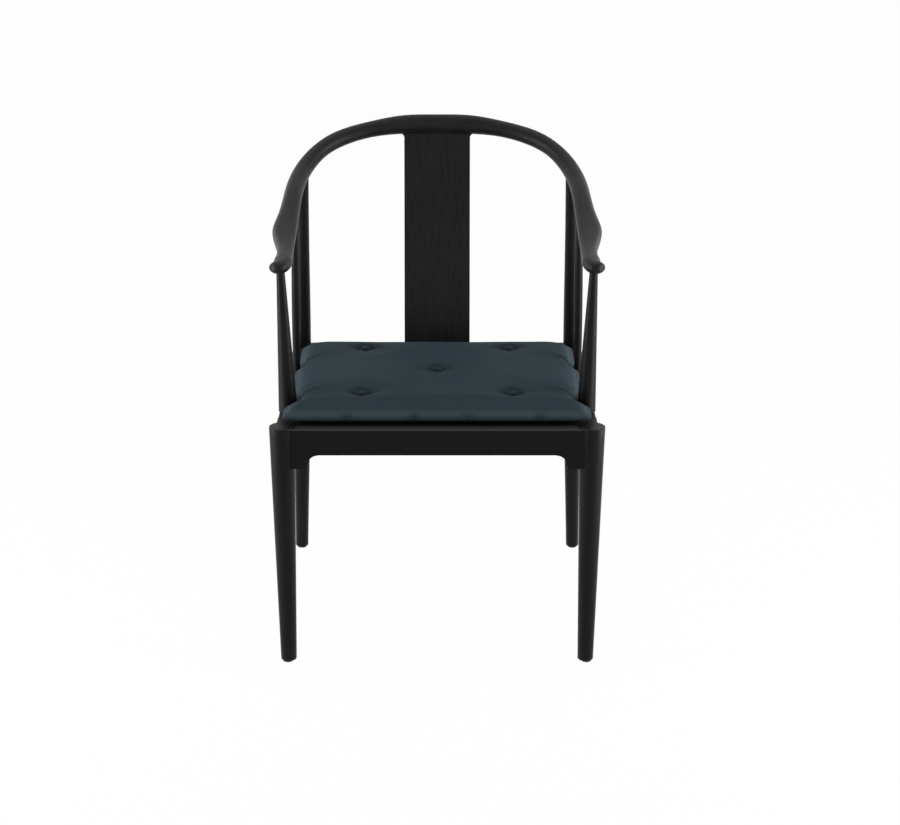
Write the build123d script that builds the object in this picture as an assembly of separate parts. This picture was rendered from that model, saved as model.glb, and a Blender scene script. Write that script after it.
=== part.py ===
from build123d import *
import math
import os

# Horseshoe back armchair in black stained ash with a loose leather cushion. Millimetres.
# X is across the chair, Y runs from front to back, Z is up.
# The origin is on the floor, under the middle of the chair.

# ---- driving dimensions ------------------------------------------------------------------

# overall
DEPTH = 550.0              # front of the front legs to the back of the crest
HEIGHT = 820.0             # floor to the top of the crest
FRONT = -DEPTH / 2
BACK = DEPTH / 2

# seat frame
SEAT_Z = 413.0             # top of the four rails
RAIL_THICK = 28.0
RAIL_TALL = 43.0
RAIL_EASE = 1.5            # rounding along the rails' outer edges
FRONT_RAIL_SET = 5.0       # front rail's face behind the front of the legs
SIDE_RAIL_FRONT_X = 247.8  # side rail's centre line at the front leg
SIDE_RAIL_REAR_X = 242.7   # side rail's centre line at the rear leg
TENON_THICK = 10.0
TENON_TALL = 27.0
TENON_DROP = 8.0           # tenon's top below the rail's top
TENON_CORE = 6.0           # wood left between a tenon's end and the leg's axis

# corner blocks between the rails and the legs
BLOCK_WIDE = 33.0          # from the leg's surface to the rail's shoulder
BLOCK_TOE = 41.0           # from the leg's surface to where the hollow meets the rail's underside
BLOCK_FOOT = 23.5          # width of the block's lower end
BLOCK_TALL = 66.0
BLOCK_PROUD = 0.5          # the block stands this far proud of the rail's faces
BLOCK_CURVE_TALL = 14.0    # height of the shoulder's curved lower stretch above the rail's underside
BLOCK_WRAP = 9.0           # the block's outer face ends this far along from the leg's axis

# front legs
FRONT_LEG_D = 37.5
FRONT_LEG_FOOT_D = 23.0
FRONT_LEG_TOP = 415.5
FRONT_LEG_X = 254.7        # axis at the top
FRONT_LEG_FOOT_X = 250.0   # axis at the floor
FRONT_LEG_CROWN = 1.6      # rounding of the disc end

# rear legs: one straight raked axis from the floor to the horseshoe
REAR_LEG_D = 31.0          # at the seat
REAR_LEG_FOOT_D = 23.0
REAR_LEG_TOP_D = 20.5
REAR_FOOT_X = 252.9
REAR_FOOT_SET = 20.0       # axis at the floor in front of the back of the chair
REAR_TOP_X = 233.0
REAR_TOP_SET = 131.0       # axis at the horseshoe in front of the back of the chair
REAR_TOP_DROP = 58.0       # horseshoe's centre line over the leg below the crest's centre line
FOOT_EASE = 2.0            # rounding round each foot

# foot glides
GLIDE_D = 17.0
GLIDE_TALL = 3.0
GLIDE_NAIL_D = 3.0
GLIDE_NAIL_LONG = 14.0

# arm posts
POST_SETBACK = 88.0        # post's axis behind the front leg's axis
POST_D = 31.5              # at the rail
POST_TOP_D = 12.5          # under the arm
POST_LEAN = 8.5            # the top's reach outward of the foot
POST_TENON_D = 14.0
POST_TENON_LONG = 24.0
POST_PIN_D = 8.5
POST_PIN_LONG = 12.0

# side spindles
SPINDLE_SETBACK = 268.0    # behind the front leg's axis
SPINDLE_X = 242.5          # axis at the rail
SPINDLE_TOP_X = 240.0
SPINDLE_D = 14.5           # at mid height
SPINDLE_END_D = 11.0
SPINDLE_TENON_D = 8.0
SPINDLE_TENON_LONG = 18.0

# horseshoe: crest rail and two arms, cut from one line of changing sections
# a SETBACK is behind the front leg's axis, and a DROP is below the crest's centre line
CREST_DEEP = 29.5
CREST_TALL = 34.0          # over the back splat
ROUND_D = 28.5             # the round stretch round the back
BACK_HALF = 62.0           # half length of the tall stretch
SHOULDER_X = 112.0
SHOULDER_DROP = 6.5
SHOULDER_SET = 10.0        # a SET is in front of the crest's centre line
CORNER_X = 186.0
CORNER_DROP = 24.0
CORNER_SET = 47.0
TURN_X = 213.0
TURN_DROP = 39.0
TURN_SET = 77.0
LEG_D_THERE = 30.0         # horseshoe's thickness over the rear leg
SIDE_X = 246.0
SIDE_SETBACK = 321.0
SIDE_DROP = 83.0
SIDE_D = 31.5
FLARE_SETBACK = 262.0
FLARE_DROP = 104.0
FLARE_X = 251.0
FLARE_WIDE = 35.5
FLARE_TALL = 28.0
PALM_SETBACK = 213.0
PALM_REACH = 275.0         # outer edge of the palm from the middle of the chair
PALM_DROP = 117.5
PALM_WIDE = 40.5
PALM_TALL = 25.0
NECK_SETBACK = 140.0
NECK_X = 249.7
NECK_DROP = 131.5
NECK_WIDE = 27.5
NECK_TALL = 24.0
KNUCKLE_SETBACK = 96.0
KNUCKLE_X = 249.8
KNUCKLE_DROP = 135.0
KNUCKLE_WIDE = 28.5
KNUCKLE_TALL = 23.5
CURL_SETBACK = 77.0
CURL_X = 251.0
CURL_DROP = 135.5
CURL_WIDE = 30.5
CURL_TALL = 23.0
TIP_SETBACK = 61.2
TIP_X = 255.7
TIP_DROP = 136.5
TIP_WIDE = 29.5
TIP_TALL = 22.0
TIP_NOSE = 14.5            # length of the rounded end
TIP_TURN = 45.0            # degrees that the end turns outward
ROUND = 2.0                # section exponent: 2 is an ellipse
ROUNDED = 2.2
SOFT = 2.45                # and this is a softly squared palm
SECTION_POINTS = 16
NOSE_STEPS = (42, 72)      # degrees round the end's quarter circle
NOSE_FULLNESS = 0.8

# finger joints between the crest rail and the arms
FINGERS = 5
FINGER_LONG = 26.0

# back splat
SPLAT_WIDE = 116.5
SPLAT_THICK = 11.0
SPLAT_EAR = 6.0            # flare of the splat's upper corners
SPLAT_TENON_THICK = 7.0
SPLAT_TENON_INSET = 10.0
SPLAT_TENON_LOW = 18.0
SPLAT_TENON_HIGH = 4.0     # tenon's end above the crest's centre line

# seat panel
PANEL_THICK = 12.0
PANEL_SET = 0.4            # below the rails' top
PANEL_GAP = 0.8            # round the panel's edge
TONGUE_LONG = 5.0
TONGUE_THICK = 5.0
TONGUE_DROP = 5.0          # tongue's top below the panel's top

# corner braces and their screws
BRACE_NEAR = 62.0          # from the inner corner to the brace, along a rail
BRACE_FAR = 92.0
BRACE_TALL = 24.0
BRACE_GAP = 3.0            # under the seat panel
SCREW_D = 4.5
SCREW_HEAD_D = 9.0
SCREW_HEAD_TALL = 3.0
SCREW_BITE = 16.0          # length in the rail
SCREW_HOLD = 10.0          # length in the brace, under the head

# cushion
CUSHION_FRONT = 20.0       # front edge behind the front of the legs
CUSHION_BACK = 121.0       # back edge in front of the back of the chair
CUSHION_FRONT_X = 249.5
CUSHION_MIDDLE_X = 243.5
CUSHION_REAR_X = 239.0
CUSHION_TALL = 40.0
CUSHION_CROWN = 4.0        # how much the middle stands over the edges
CUSHION_EDGE_R = 18.0
CUSHION_CORNER_R = 30.0
CUSHION_LOBE_R = 22.0
CUSHION_VALLEY_R = 6.0
CUSHION_UNDER_R = 13.0
NOTCH_GAP = 1.2            # between the cushion and an upright
NOTCH_SLOPE = 12.0         # length of a notch's flank along the edge
LEATHER = 1.4
TUFT_X = 125.0
TUFT_FRONT = 80.0          # front buttons behind the cushion's front edge
TUFT_BACK = 81.5           # back buttons in front of its back edge
TUFT_D = 22.0
TUFT_DEEP = 9.0            # depth of a dimple
DIMPLE_D = 50.0
TUFT_TALL = 6.0
TIE_D = 2.0
TIE_BACK_D = 18.0
TIE_BACK_TALL = 1.5
TIE_POCKET = 3.0

# clearances
GLUE = 0.12                # round a tenon, a spigot or a scribed shoulder
REST = 0.3                 # between the cushion and what it rests on


# ---- helpers -----------------------------------------------------------------------------

def mirrored(solid):
    """The same piece for the other side of the chair."""
    return mirror(solid, about=Plane.YZ)


def between(low, high, share):
    return low + (high - low) * share


def turned(start, end, stations):
    """A turned piece on the axis from start to end. stations: (share of the length, diameter)."""
    axis = Vector(*end) - Vector(*start)
    length = axis.length
    side = [(diameter / 2, share * length) for share, diameter in stations]
    outline = Spline(*side) if len(side) > 2 else Line(*side)
    top = Line(side[-1], (0, side[-1][1]))
    middle = Line((0, side[-1][1]), (0, side[0][1]))
    foot = Line((0, side[0][1]), side[0])
    face = Plane.XZ * make_face([outline, top, middle, foot])
    return Plane(origin=start, z_dir=axis).location * revolve(face, Axis.Z)


def rod(start, end, diameter):
    return turned(start, end, [(0, diameter), (1, diameter)])


def slab(low, high):
    """A box given by two opposite corners."""
    size = [b - a for a, b in zip(low, high)]
    return Pos(*low) * Box(*size, align=(Align.MIN, Align.MIN, Align.MIN))


def prism(points, low, high):
    """A plan outline raised between two heights."""
    face = make_face(Polyline(*points, close=True))
    return Pos(0, 0, low) * extrude(face, high - low)


# ---- lines that several pieces share -----------------------------------------------------

FRONT_AXIS_Y = FRONT + FRONT_LEG_D / 2
CREST_Y = BACK - CREST_DEEP / 2
CREST_Z = HEIGHT - CREST_TALL / 2
REAR_FOOT_Y = BACK - REAR_FOOT_SET
REAR_TOP_Y = BACK - REAR_TOP_SET
REAR_TOP_Z = CREST_Z - REAR_TOP_DROP
FRONT_RAIL_Y = FRONT + FRONT_RAIL_SET + RAIL_THICK / 2
RAIL_MID_Z = SEAT_Z - RAIL_TALL / 2
RAIL_LOW = SEAT_Z - RAIL_TALL


def front_leg_point(z):
    share = z / FRONT_LEG_TOP
    return (between(FRONT_LEG_FOOT_X, FRONT_LEG_X, share), FRONT_AXIS_Y, z)


def rear_leg_point(z):
    share = z / REAR_TOP_Z
    return (between(REAR_FOOT_X, REAR_TOP_X, share), between(REAR_FOOT_Y, REAR_TOP_Y, share), z)


REAR_RAIL_Y = rear_leg_point(RAIL_MID_Z)[1]
SPLAT_FOOT_Y = REAR_RAIL_Y
SPLAT_TOP_Y = CREST_Y


def side_rail_x(y):
    """Centre line of the right side rail."""
    share = (y - FRONT_AXIS_Y) / (REAR_RAIL_Y - FRONT_AXIS_Y)
    return between(SIDE_RAIL_FRONT_X, SIDE_RAIL_REAR_X, share)


POST_Y = FRONT_AXIS_Y + POST_SETBACK
POST_X = side_rail_x(POST_Y)
POST_TOP_X = POST_X + POST_LEAN
POST_TOP_Z = CREST_Z - KNUCKLE_DROP
SPINDLE_Y = FRONT_AXIS_Y + SPINDLE_SETBACK
SPINDLE_TOP_Z = CREST_Z - FLARE_DROP


# ---- horseshoe ---------------------------------------------------------------------------

def horseshoe_stations():
    """Right half, from the middle of the crest to the arm's end: centre, width, height, exponent."""
    palm_x = PALM_REACH - PALM_WIDE / 2
    places = [
        (0, CREST_Y, 0, CREST_DEEP, CREST_TALL, ROUND),
        (BACK_HALF, CREST_Y - 2, 1, CREST_DEEP, CREST_TALL - 1, ROUND),
        (SHOULDER_X, CREST_Y - SHOULDER_SET, SHOULDER_DROP, ROUND_D, ROUND_D, ROUND),
        (CORNER_X, CREST_Y - CORNER_SET, CORNER_DROP, ROUND_D, ROUND_D, ROUND),
        (TURN_X, CREST_Y - TURN_SET, TURN_DROP, ROUND_D, ROUND_D, ROUND),
        (REAR_TOP_X, REAR_TOP_Y, REAR_TOP_DROP, LEG_D_THERE, LEG_D_THERE, ROUND),
        (SIDE_X, FRONT_AXIS_Y + SIDE_SETBACK, SIDE_DROP, SIDE_D, SIDE_D, ROUND),
        (FLARE_X, FRONT_AXIS_Y + FLARE_SETBACK, FLARE_DROP, FLARE_WIDE, FLARE_TALL, ROUNDED),
        (palm_x, FRONT_AXIS_Y + PALM_SETBACK, PALM_DROP, PALM_WIDE, PALM_TALL, SOFT),
        (NECK_X, FRONT_AXIS_Y + NECK_SETBACK, NECK_DROP, NECK_WIDE, NECK_TALL, SOFT),
        (KNUCKLE_X, FRONT_AXIS_Y + KNUCKLE_SETBACK, KNUCKLE_DROP, KNUCKLE_WIDE, KNUCKLE_TALL, SOFT),
        (CURL_X, FRONT_AXIS_Y + CURL_SETBACK, CURL_DROP, CURL_WIDE, CURL_TALL, SOFT),
        (TIP_X, FRONT_AXIS_Y + TIP_SETBACK, TIP_DROP, TIP_WIDE, TIP_TALL, ROUND),
    ]
    return [((x, y, CREST_Z - drop), *form) for x, y, drop, *form in places]


def horseshoe_half():
    """The stations with each one's direction, taken from its neighbours."""
    stations = horseshoe_stations()
    centres = [Vector(*station[0]) for station in stations]
    last = len(stations) - 1
    half = []
    for i, (centre, (_, wide, tall, exponent)) in enumerate(zip(centres, stations)):
        if i == 0:
            along = Vector(1, 0, 0)
        elif i >= last - 1:
            turn = math.radians(TIP_TURN if i == last else TIP_TURN / 2)
            along = Vector(math.sin(turn), -math.cos(turn), 0)
        else:
            along = (centres[i + 1] - centres[i - 1]).normalized()
        half.append((centre, along, wide, tall, exponent))
    tip, along, wide, tall, _ = half[-1]
    for degrees in NOSE_STEPS:
        angle = math.radians(degrees)
        shrink = math.cos(angle) ** NOSE_FULLNESS
        centre = tip + along * (TIP_NOSE * math.sin(angle))
        half.append((centre, along, wide * shrink, tall * shrink, ROUND))
    return half


def section(centre, along, wide, tall, exponent):
    """A section across the line: a superellipse with its first axis level and outward."""
    out = Vector(0, 0, 1).cross(along).normalized()
    up = along.cross(out).normalized()
    points = []
    for i in range(SECTION_POINTS):
        angle = 2 * math.pi * i / SECTION_POINTS
        c, s = math.cos(angle), math.sin(angle)
        x = math.copysign(abs(c) ** (2 / exponent), c) * wide / 2
        y = math.copysign(abs(s) ** (2 / exponent), s) * tall / 2
        points.append(centre + out * x + up * y)
    return Wire([Edge.make_spline(points, periodic=True)])


def horseshoe(grow=0.0):
    """The whole horseshoe; grow makes the room that a scribed piece leaves round it."""
    half = horseshoe_half()
    sections = []
    for centre, along, wide, tall, exponent in reversed(half[1:]):
        left = Vector(-centre.X, centre.Y, centre.Z)
        back = Vector(along.X, -along.Y, -along.Z)
        sections.append(section(left, back, wide + 2 * grow, tall + 2 * grow, exponent))
    for centre, along, wide, tall, exponent in half:
        sections.append(section(centre, along, wide + 2 * grow, tall + 2 * grow, exponent))
    return Solid.make_loft(sections)


def arm_region(side):
    """All that lies on the arm's side of a finger joint."""
    far = DEPTH + HEIGHT
    centre, along, _, tall, _ = horseshoe_half()[3]
    at = Vector(side * centre.X, centre.Y, centre.Z)
    along = Vector(side * along.X, along.Y, along.Z)
    out = Vector(0, 0, 1).cross(along).normalized()
    pitch = tall / FINGERS
    comb = []
    for i in range(FINGERS):
        reach = FINGER_LONG / 2 if i % 2 else -FINGER_LONG / 2
        low = -far if i == 0 else (i - FINGERS / 2) * pitch
        high = far if i == FINGERS - 1 else (i + 1 - FINGERS / 2) * pitch
        comb += [(reach, low), (reach, high)]
    face = make_face(Polyline(*comb, (far, far), (far, -far), close=True))
    plane = Plane(origin=at, x_dir=along, z_dir=out)
    return plane.location * extrude(face, far, both=True)


# ---- legs, posts and spindles ------------------------------------------------------------

def below(point, size):
    """What a leg or a post loses under its flat lower end."""
    x, y, z = point
    return slab((x - size, y - size, z - size), (x + size, y + size, z))


def front_leg_blank(grow=0.0):
    foot, top = front_leg_point(0), front_leg_point(FRONT_LEG_TOP)
    sides = [(0, FRONT_LEG_FOOT_D + 2 * grow), (1, FRONT_LEG_D + 2 * grow)]
    return turned(foot, top, sides) - below(front_leg_point(GLIDE_TALL), FRONT_LEG_D)


def rear_leg_blank(grow=0.0):
    """Swells to its full diameter at the seat and thins again to the horseshoe."""
    foot, top = rear_leg_point(0), rear_leg_point(REAR_TOP_Z)
    seat = RAIL_MID_Z / REAR_TOP_Z
    sides = [
        (-0.02, REAR_LEG_FOOT_D), (seat / 2, between(REAR_LEG_FOOT_D, REAR_LEG_D, 0.58)),
        (seat, REAR_LEG_D), (between(seat, 1, 0.55), between(REAR_LEG_D, REAR_LEG_TOP_D, 0.62)),
        (1, REAR_LEG_TOP_D),
    ]
    blank = turned(foot, top, [(share, diameter + 2 * grow) for share, diameter in sides])
    return blank - below(rear_leg_point(GLIDE_TALL), REAR_LEG_D)


def glide(point):
    """A nail-in glide under a foot: the domed head and its nail."""
    x, y, _ = point
    head = Pos(x, y, 0) * Cylinder(GLIDE_D / 2, GLIDE_TALL, align=(Align.CENTER, Align.CENTER, Align.MIN))
    head = chamfer(head.edges().sort_by(Axis.Z)[0], 0.8)
    nail = rod((x, y, GLIDE_TALL / 2), (x, y, GLIDE_TALL + GLIDE_NAIL_LONG), GLIDE_NAIL_D)
    return head + nail


def nail_hole(point):
    x, y, _ = point
    deep = GLIDE_TALL + GLIDE_NAIL_LONG + 2
    return rod((x, y, 0), (x, y, deep), GLIDE_NAIL_D + 2 * GLUE)


def rear_pin(grow=0.0):
    """The rear leg's round tenon in the arm."""
    low, high = rear_leg_point(REAR_TOP_Z - LEG_D_THERE), rear_leg_point(REAR_TOP_Z + 4 + grow)
    return rod(low, high, REAR_LEG_TOP_D - 6 + 2 * grow)


def post_pin(grow=0.0):
    z = POST_TOP_Z + 2
    low, high = (POST_TOP_X, POST_Y, z - POST_PIN_LONG - 8), (POST_TOP_X, POST_Y, z + grow)
    return rod(low, high, POST_PIN_D + 2 * grow)


def post_spigot(grow=0.0):
    low, high = (POST_X, POST_Y, SEAT_Z - POST_TENON_LONG - grow), (POST_X, POST_Y, SEAT_Z + 8)
    return rod(low, high, POST_TENON_D + 2 * grow)


def arm_post(room):
    foot, top = (POST_X, POST_Y, SEAT_Z), (POST_TOP_X, POST_Y, POST_TOP_Z)
    body = turned(foot, top, [(0, POST_D), (1, POST_TOP_D)]) - below(foot, POST_D)
    return body - room + post_spigot() + post_pin()


def spindle_pin(grow=0.0):
    z = SPINDLE_TOP_Z + 3
    low, high = (SPINDLE_TOP_X, SPINDLE_Y, z - 22), (SPINDLE_TOP_X, SPINDLE_Y, z + grow)
    return rod(low, high, SPINDLE_TENON_D + 2 * grow)


def spindle_spigot(grow=0.0):
    deep = SEAT_Z - SPINDLE_TENON_LONG - grow
    return rod((SPINDLE_X, SPINDLE_Y, deep), (SPINDLE_X, SPINDLE_Y, SEAT_Z + 8), SPINDLE_TENON_D + 2 * grow)


def side_spindle(room):
    sides = [(0, SPINDLE_END_D), (0.45, SPINDLE_D), (1, SPINDLE_END_D)]
    foot, top = (SPINDLE_X, SPINDLE_Y, SEAT_Z), (SPINDLE_TOP_X, SPINDLE_Y, SPINDLE_TOP_Z)
    body = turned(foot, top, sides) - below(foot, SPINDLE_D)
    return body - room + spindle_spigot() + spindle_pin()


# ---- seat frame --------------------------------------------------------------------------
# The rails run anticlockwise round the seat, so a rail's left hand is always the inner side.

FRONT_REACH = FRONT_LEG_D / 2
REAR_REACH = REAR_LEG_D / 2
REAR_LEG_X = rear_leg_point(RAIL_MID_Z)[0]

CORNERS = {
    "front_left": ((-FRONT_LEG_X, FRONT_RAIL_Y), (-SIDE_RAIL_FRONT_X, FRONT_AXIS_Y), FRONT_REACH),
    "front_right": ((FRONT_LEG_X, FRONT_RAIL_Y), (SIDE_RAIL_FRONT_X, FRONT_AXIS_Y), FRONT_REACH),
    "rear_right": ((REAR_LEG_X, REAR_RAIL_Y), (SIDE_RAIL_REAR_X, REAR_RAIL_Y), REAR_REACH),
    "rear_left": ((-REAR_LEG_X, REAR_RAIL_Y), (-SIDE_RAIL_REAR_X, REAR_RAIL_Y), REAR_REACH),
}
RAILS = {
    "front_rail": ("front_left", "front_right", 0),
    "side_rail_right": ("front_right", "rear_right", 1),
    "rear_rail": ("rear_right", "rear_left", 0),
    "side_rail_left": ("rear_left", "front_left", 1),
}


def rail_ends(name):
    first, last, line = RAILS[name]
    return Vector(*CORNERS[first][line]), Vector(*CORNERS[last][line])


def rail_plane(name, from_end=False):
    """Local x along the rail from one leg's axis, local y across it, z zero at the rail's top."""
    first, last = rail_ends(name)
    if from_end:
        first, last = last, first
    return Plane(origin=(first.X, first.Y, SEAT_Z), x_dir=last - first, z_dir=(0, 0, 1))


def block_form(reach, thick, start):
    """A corner block's outline, from near the leg's axis to the scribed shoulder, raised to thick."""
    shoulder, toe, foot = reach + BLOCK_WIDE, reach + BLOCK_TOE, reach + BLOCK_FOOT
    bend = -RAIL_TALL + BLOCK_CURVE_TALL
    low = -BLOCK_TALL
    scribe = Bezier((shoulder, bend), (shoulder, bend - BLOCK_CURVE_TALL / 2), (toe, -RAIL_TALL))
    hollow = Bezier((toe, -RAIL_TALL), (foot + 2, -RAIL_TALL - 1), (foot, low))
    edges = [
        Line((start, 0), (shoulder, 0)), Line((shoulder, 0), (shoulder, bend)), scribe, hollow,
        Line((foot, low), (start, low)), Line((start, low), (start, 0)),
    ]
    return extrude(Plane.XZ * make_face(edges), thick / 2, both=True)


def tenon(reach, grow=0.0):
    """Runs from inside the rail through the block and into the leg."""
    start = TENON_CORE - grow
    low = -TENON_DROP - TENON_TALL - grow
    half = TENON_THICK / 2 + grow
    return slab((start, -half, low), (reach + BLOCK_WIDE + 12, half, -TENON_DROP + grow))


def rail(name):
    first, last, _ = RAILS[name]
    plane = rail_plane(name)
    start, end = rail_ends(name)
    length = (end - start).length
    bar = slab((0, -RAIL_THICK / 2, -RAIL_TALL), (length, RAIL_THICK / 2, 0))
    outer = bar.edges().filter_by(Axis.X).group_by(Axis.Y)[0]
    bar = fillet(outer, RAIL_EASE)
    groove_top = -PANEL_SET - TONGUE_DROP + 2 * GLUE
    groove_low = -PANEL_SET - TONGUE_DROP - TONGUE_THICK - 2 * GLUE
    inner = RAIL_THICK / 2
    bar -= slab((0, inner - TONGUE_LONG - PANEL_GAP, groove_low), (length, inner + 1, groove_top))
    body = plane.location * bar
    for corner, backwards in ((first, False), (last, True)):
        here = rail_plane(name, backwards).location
        body -= here * block_form(CORNERS[corner][2], RAIL_THICK * 2, 0)
    for corner, backwards in ((first, False), (last, True)):
        body += rail_plane(name, backwards).location * tenon(CORNERS[corner][2])
    return body


def mitre_waste(corner, along_side):
    """What a block loses to its neighbour on the same leg, past the mitre between them."""
    sx = 1 if "right" in corner else -1
    sy = -1 if "front" in corner else 1
    x, y = CORNERS[corner][1][0], CORNERS[corner][0][1]
    far = BLOCK_TOE
    turn = (-far, far) if along_side else (far, -far)
    outline = [(x, y), (x - sx * far, y - sy * far), (x + sx * turn[0], y + sy * turn[1])]
    return prism(outline, SEAT_Z - BLOCK_TALL - 5, SEAT_Z + 5)


def corner_block(name, backwards, legs):
    corner = RAILS[name][1 if backwards else 0]
    reach = CORNERS[corner][2]
    here = rail_plane(name, backwards).location
    block = block_form(reach, RAIL_THICK + 2 * BLOCK_PROUD, BLOCK_WRAP)
    block = here * block - here * tenon(reach, GLUE) - legs[corner]
    return block - mitre_waste(corner, name.startswith("side"))


def inner_x(y):
    """Inner face of the right side rail."""
    splay = (SIDE_RAIL_FRONT_X - SIDE_RAIL_REAR_X) / (REAR_RAIL_Y - FRONT_AXIS_Y)
    return side_rail_x(y) - RAIL_THICK / 2 * math.hypot(1, splay)


def plan(grow):
    """Outline inside the rails, grown outwards."""
    front, back = FRONT_RAIL_Y + RAIL_THICK / 2 - grow, REAR_RAIL_Y - RAIL_THICK / 2 + grow
    right = [(inner_x(front) + grow, front), (inner_x(back) + grow, back)]
    return right + [(-x, y) for x, y in reversed(right)]


def seat_panel():
    top = SEAT_Z - PANEL_SET
    board = prism(plan(-PANEL_GAP), top - PANEL_THICK, top)
    tongue = prism(plan(TONGUE_LONG), top - TONGUE_DROP - TONGUE_THICK, top - TONGUE_DROP)
    for line, _, reach in CORNERS.values():
        half = reach + BLOCK_TOE + PANEL_GAP
        x, y = line
        tongue -= slab((x - half, y - half, 0), (x + half, y + half, SEAT_Z))
    return board + tongue


def screw(at, into, grow=0.0):
    """A countersunk screw whose head lies at the point, biting along the direction."""
    at, into = Vector(*at), Vector(*into).normalized()
    tip = at + into * (SCREW_HEAD_TALL + SCREW_HOLD + SCREW_BITE + grow)
    neck = at + into * SCREW_HEAD_TALL
    head = turned(tuple(at), tuple(neck), [(0, SCREW_HEAD_D + 2 * grow), (1, SCREW_D + 2 * grow)])
    return head + rod(tuple(neck), tuple(tip), SCREW_D + 2 * grow)


def brace_seat(corner):
    """Signs of a corner, its inner corner point and the two screws' places and directions."""
    sx = 1 if "right" in corner else -1
    sy = -1 if "front" in corner else 1
    y = FRONT_RAIL_Y + RAIL_THICK / 2 if sy < 0 else REAR_RAIL_Y - RAIL_THICK / 2
    middle = between(BRACE_NEAR, BRACE_FAR, 0.42)
    z = SEAT_Z - PANEL_SET - PANEL_THICK - BRACE_GAP - BRACE_TALL / 2
    hold = SCREW_HOLD + SCREW_HEAD_TALL
    side_y = y - sy * middle
    to_end = ((sx * (inner_x(y) - middle), y - sy * hold, z), (0, sy, 0))
    to_side = ((sx * (inner_x(side_y) - hold), side_y, z), (sx, 0, 0))
    return sx, sy, y, z, (to_end, to_side)


def corner_brace(corner):
    sx, sy, y, z, screws = brace_seat(corner)
    near, far = y - sy * BRACE_NEAR, y - sy * BRACE_FAR
    outline = [
        (sx * (inner_x(y) - BRACE_NEAR), y), (sx * (inner_x(y) - BRACE_FAR), y),
        (sx * inner_x(far), far), (sx * inner_x(near), near),
    ]
    brace = prism(outline, z - BRACE_TALL / 2, z + BRACE_TALL / 2)
    for at, into in screws:
        brace -= screw(at, into, GLUE)
        start = Vector(*at) + Vector(*into) * 0.01
        brace -= rod(tuple(start), tuple(start - Vector(*into) * 60), SCREW_HEAD_D + 2)
    return brace


def all_screws(grow=0.0):
    return [screw(at, into, grow) for corner in CORNERS for at, into in brace_seat(corner)[4]]


# ---- back splat --------------------------------------------------------------------------

def splat_side(thick):
    """The splat's bend in side view: upright at both ends, raked between them."""
    lines = []
    for shift in (-thick / 2, thick / 2):
        foot, head = (SPLAT_FOOT_Y + shift, SEAT_Z), (SPLAT_TOP_Y + shift, CREST_Z)
        lines.append(Spline(foot, head, tangents=[(0.05, 1), (0.02, 1)], tangent_scalars=[1.0, 1.0]))
    front, back = lines
    edges = [front, Line(front @ 1, back @ 1), back, Line(back @ 0, front @ 0)]
    return extrude(Plane.YZ * make_face(edges), SPLAT_WIDE, both=True)


def splat_face():
    """The splat's outline from the front, with its upper corners eased out into the crest."""
    half, top = SPLAT_WIDE / 2, CREST_Z
    under = HEIGHT - CREST_TALL
    right = [(half, SEAT_Z), (half, under - SPLAT_EAR)]
    ear = Bezier(right[1], (half, under - 1), (half + SPLAT_EAR, under + 0.5))
    up = Line(ear @ 1, (half + SPLAT_EAR, top))
    across = Line(up @ 1, (0, top))
    side = Line(right[0], right[1])
    foot = Line((0, SEAT_Z), right[0])
    middle = Line((0, top), (0, SEAT_Z))
    face = make_face([foot, side, ear, up, across, middle])
    face = face + mirror(face, about=Plane.YZ)
    return extrude(Plane.XZ * face, DEPTH, both=True)


def splat_tenons(grow=0.0):
    half = SPLAT_WIDE / 2 - SPLAT_TENON_INSET + grow
    thick = SPLAT_TENON_THICK / 2 + grow
    made = []
    spans = (
        (SPLAT_FOOT_Y, SEAT_Z - SPLAT_TENON_LOW - grow, SEAT_Z + 4),
        (SPLAT_TOP_Y, HEIGHT - CREST_TALL - 4, CREST_Z + SPLAT_TENON_HIGH + grow),
    )
    for y, low, high in spans:
        made.append(slab((-half, y - thick, low), (half, y + thick, high)))
    return made


# ---- cushion -----------------------------------------------------------------------------

CUSHION_Z = SEAT_Z + REST
CUSHION_FRONT_Y = FRONT + CUSHION_FRONT
CUSHION_BACK_Y = BACK - CUSHION_BACK
CUSHION_MID_Y = (CUSHION_FRONT_Y + CUSHION_BACK_Y) / 2
CROWN_R = CUSHION_FRONT_X ** 2 / (2 * CUSHION_CROWN)
CROWN_CENTRE_Z = CUSHION_Z + CUSHION_TALL - CROWN_R
DIMPLE_R = (DIMPLE_D ** 2 / 4 + TUFT_DEEP ** 2) / (2 * TUFT_DEEP)


def crown_z(x, y):
    """Height of the cushion's crown before it is dimpled."""
    return CROWN_CENTRE_Z + math.sqrt(CROWN_R ** 2 - x ** 2 - (y - CUSHION_MID_Y) ** 2)


def button_z(x, y):
    """Underside of a button, where its rim meets the dimple."""
    rim = DIMPLE_R - math.sqrt(DIMPLE_R ** 2 - TUFT_D ** 2 / 4)
    return crown_z(x, y) - TUFT_DEEP + rim + GLUE


def tuft_places():
    front, back = CUSHION_FRONT_Y + TUFT_FRONT, CUSHION_BACK_Y - TUFT_BACK
    return [(-TUFT_X, front), (TUFT_X, front), (0, (front + back) / 2), (-TUFT_X, back), (TUFT_X, back)]


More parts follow.
